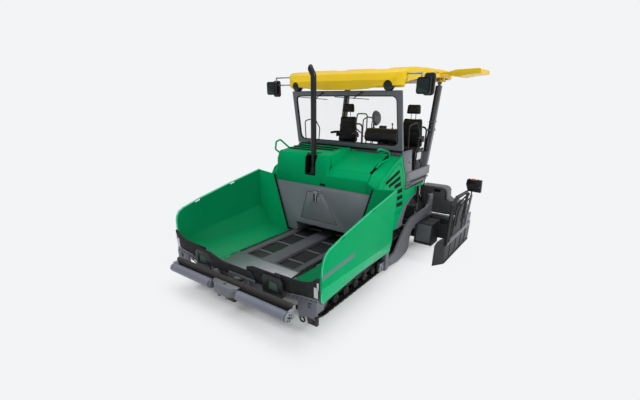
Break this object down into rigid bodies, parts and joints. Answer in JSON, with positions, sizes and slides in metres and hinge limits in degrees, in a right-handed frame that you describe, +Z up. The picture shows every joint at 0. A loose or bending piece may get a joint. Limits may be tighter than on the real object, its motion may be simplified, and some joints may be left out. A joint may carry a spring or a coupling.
{
  "type": "asphalt paver",
  "caption": "Tracked road paver: folding hopper wings, slat conveyors, canopied operator's stand, augers and a towed screed with sliding extensions.",
  "frame": {"origin": "on the ground, at the middle of the machine's length and width", "axes": "+Z up, +Y towards the screed at the rear, +X towards the machine's left side"},
  "size_m": [4.78, 6, 3.834],
  "materials": {
    "green": "satin green paint",
    "yellow": "gloss yellow moulding",
    "frame_grey": "satin grey paint",
    "wall_grey": "satin grey paint",
    "dark_grey": "matte dark grey paint",
    "roller_grey": "satin grey paint",
    "black_metal": "satin black paint",
    "black_plastic": "matte black",
    "seat_black": "black cloth",
    "worn_steel": "worn steel",
    "engine_iron": "plain mass",
    "track_rubber": "black pads",
    "rubber": "black rubber sheet",
    "chrome": "polished",
    "glass": "clear"
  },
  "bodies": {
    "tractor": {"main_frame": "frame_grey", "wing_supports": "frame_grey", "engine_block": "engine_iron", "fuel_tank": "black_plastic", "tracks": "track_rubber", "track_frames": "frame_grey", "conveyor_guards": "worn_steel", "slat_conveyors": "worn_steel", "back_wall": "wall_grey", "wall_hatch": "wall_grey", "centre_apron": "rubber", "bonnet_front": "green", "body_sides": "green", "fenders": "frame_grey", "exhaust": "black_metal", "platform": "frame_grey", "seats": "seat_black", "console": "black_plastic", "handrails": "black_metal", "windscreen_frame": "frame_grey", "windscreen": "glass", "rear_posts": "frame_grey", "canopy": "yellow", "work_lamps": "black_plastic", "auger_drive": "frame_grey", "tow_points": "frame_grey"},
    "wing_left": {"wing_left": "green", "wing_apron_left": "rubber", "wing_foot_plate_left": "frame_grey"},
    "wing_right": {"wing_right": "green", "wing_apron_right": "rubber", "wing_foot_plate_right": "frame_grey"},
    "push_beam": {"push_beam": "frame_grey"},
    "push_roller_left": {"push_roller_left": "roller_grey"},
    "push_roller_right": {"push_roller_right": "roller_grey"},
    "bonnet_lid": {"bonnet_lid": "green"},
    "side_door_left": {"side_door_left": "green"},
    "side_door_right": {"side_door_right": "green"},
    "side_roof_left": {"side_roof_left": "yellow"},
    "side_roof_right": {"side_roof_right": "yellow"},
    "auger_left": {"auger_left": "worn_steel"},
    "auger_right": {"auger_right": "worn_steel"},
    "screed": {"tow_arms": "frame_grey", "screed_base": "dark_grey"},
    "extension_left": {"extension_left": "dark_grey", "guide_tube_left": "chrome", "end_gate_left": "frame_grey"},
    "extension_right": {"extension_right": "dark_grey", "guide_tube_right": "chrome", "end_gate_right": "frame_grey"},
    "wing_cylinder_barrel_left": {"wing_cylinder_barrel_left": "frame_grey"},
    "wing_cylinder_rod_left": {"wing_cylinder_rod_left": "chrome"},
    "lift_cylinder_barrel_left": {"lift_cylinder_barrel_left": "frame_grey"},
    "lift_cylinder_rod_left": {"lift_cylinder_rod_left": "chrome"},
    "wing_cylinder_barrel_right": {"wing_cylinder_barrel_right": "frame_grey"},
    "wing_cylinder_rod_right": {"wing_cylinder_rod_right": "chrome"},
    "lift_cylinder_barrel_right": {"lift_cylinder_barrel_right": "frame_grey"},
    "lift_cylinder_rod_right": {"lift_cylinder_rod_right": "chrome"}
  },
  "joints": [
    {"name": "wing_left_fold", "type": "hinge", "parent": "tractor", "child": "wing_left", "pos_m": [0.78, -1.4, 0.575], "axis": [0, -1, 0], "range_deg": [0, 55]},
    {"name": "wing_cylinder_left_swing", "type": "hinge", "parent": "tractor", "child": "wing_cylinder_barrel_left", "pos_m": [0.7, -2.505, 0.2], "axis": [0, -1, 0], "range_deg": [0, 36.68]},
    {"name": "wing_cylinder_left_stroke", "type": "slide", "parent": "wing_cylinder_barrel_left", "child": "wing_cylinder_rod_left", "axis": [0.9191, 0, 0.3939], "range_m": [0, 0.2183]},
    {"name": "lift_cylinder_left_swing", "type": "hinge", "parent": "tractor", "child": "lift_cylinder_barrel_left", "pos_m": [1.335, 1.4, 1.505], "axis": [1, 0, 0], "range_deg": [-12.16, 0]},
    {"name": "lift_cylinder_left_stroke", "type": "slide", "parent": "lift_cylinder_barrel_left", "child": "lift_cylinder_rod_left", "axis": [0, 0.0957, -0.9954], "range_m": [-0.1271, 0]},
    {"name": "push_roller_left_spin", "type": "hinge", "parent": "push_beam", "child": "push_roller_left", "pos_m": [0.75, -2.925, 0.5], "axis": [1, 0, 0], "continuous": true},
    {"name": "auger_left_spin", "type": "hinge", "parent": "tractor", "child": "auger_left", "pos_m": [0.8, 2.08, 0.32], "axis": [1, 0, 0], "continuous": true},
    {"name": "extension_left_slide", "type": "slide", "parent": "screed", "child": "extension_left", "axis": [1, 0, 0], "range_m": [-0.38, 0.3]},
    {"name": "side_door_left_swing", "type": "hinge", "parent": "tractor", "child": "side_door_left", "pos_m": [1.283, -0.176, 1.5], "axis": [0, 0, -1], "range_deg": [0, 100]},
    {"name": "side_roof_left_fold", "type": "hinge", "parent": "tractor", "child": "side_roof_left", "pos_m": [1.335, 2.1, 3.742], "axis": [0, -1, 0], "range_deg": [-90, 0]},
    {"name": "wing_right_fold", "type": "hinge", "parent": "tractor", "child": "wing_right", "pos_m": [-0.78, -1.4, 0.575], "axis": [0, 1, 0], "range_deg": [0, 55]},
    {"name": "wing_cylinder_right_swing", "type": "hinge", "parent": "tractor", "child": "wing_cylinder_barrel_right", "pos_m": [-0.7, -2.505, 0.2], "axis": [0, 1, 0], "range_deg": [0, 36.68]},
    {"name": "wing_cylinder_right_stroke", "type": "slide", "parent": "wing_cylinder_barrel_right", "child": "wing_cylinder_rod_right", "axis": [-0.9191, 0, 0.3939], "range_m": [0, 0.2183]},
    {"name": "lift_cylinder_right_swing", "type": "hinge", "parent": "tractor", "child": "lift_cylinder_barrel_right", "pos_m": [-1.335, 1.4, 1.505], "axis": [1, 0, 0], "range_deg": [-12.16, 0]},
    {"name": "lift_cylinder_right_stroke", "type": "slide", "parent": "lift_cylinder_barrel_right", "child": "lift_cylinder_rod_right", "axis": [0, 0.0957, -0.9954], "range_m": [-0.1271, 0]},
    {"name": "push_roller_right_spin", "type": "hinge", "parent": "push_beam", "child": "push_roller_right", "pos_m": [-0.75, -2.925, 0.5], "axis": [1, 0, 0], "continuous": true},
    {"name": "auger_right_spin", "type": "hinge", "parent": "tractor", "child": "auger_right", "pos_m": [-0.8, 2.08, 0.32], "axis": [1, 0, 0], "continuous": true},
    {"name": "extension_right_slide", "type": "slide", "parent": "screed", "child": "extension_right", "axis": [-1, 0, 0], "range_m": [-0.38, 0.3]},
    {"name": "side_door_right_swing", "type": "hinge", "parent": "tractor", "child": "side_door_right", "pos_m": [-1.283, -0.176, 1.5], "axis": [0, 0, 1], "range_deg": [0, 100]},
    {"name": "side_roof_right_fold", "type": "hinge", "parent": "tractor", "child": "side_roof_right", "pos_m": [-1.335, 2.1, 3.742], "axis": [0, 1, 0], "range_deg": [-90, 0]},
    {"name": "push_beam_swing", "type": "hinge", "parent": "tractor", "child": "push_beam", "pos_m": [0, -2.64, 0.42], "axis": [0, 0, 1], "range_deg": [-5, 5]},
    {"name": "screed_lift", "type": "hinge", "parent": "tractor", "child": "screed", "pos_m": [0, 0.23, 0.16], "axis": [1, 0, 0], "range_deg": [0, 6]},
    {"name": "bonnet_lid_open", "type": "hinge", "parent": "tractor", "child": "bonnet_lid", "pos_m": [0, 0.476, 2.29], "axis": [-1, 0, 0], "range_deg": [0, 60]}
  ],
  "couplings": [
    {"joint": "wing_cylinder_left_swing", "follows": "wing_left_fold", "ratio": 0.65787},
    {"joint": "wing_cylinder_left_stroke", "follows": "wing_left_fold", "m_per_rad": 0.22329},
    {"joint": "lift_cylinder_left_swing", "follows": "screed_lift", "ratio": -1.9438},
    {"joint": "lift_cylinder_left_stroke", "follows": "screed_lift", "m_per_rad": -1.1754},
    {"joint": "wing_cylinder_right_swing", "follows": "wing_right_fold", "ratio": 0.65787},
    {"joint": "wing_cylinder_right_stroke", "follows": "wing_right_fold", "m_per_rad": 0.22329},
    {"joint": "lift_cylinder_right_swing", "follows": "screed_lift", "ratio": -1.9438},
    {"joint": "lift_cylinder_right_stroke", "follows": "screed_lift", "m_per_rad": -1.1754}
  ]
}
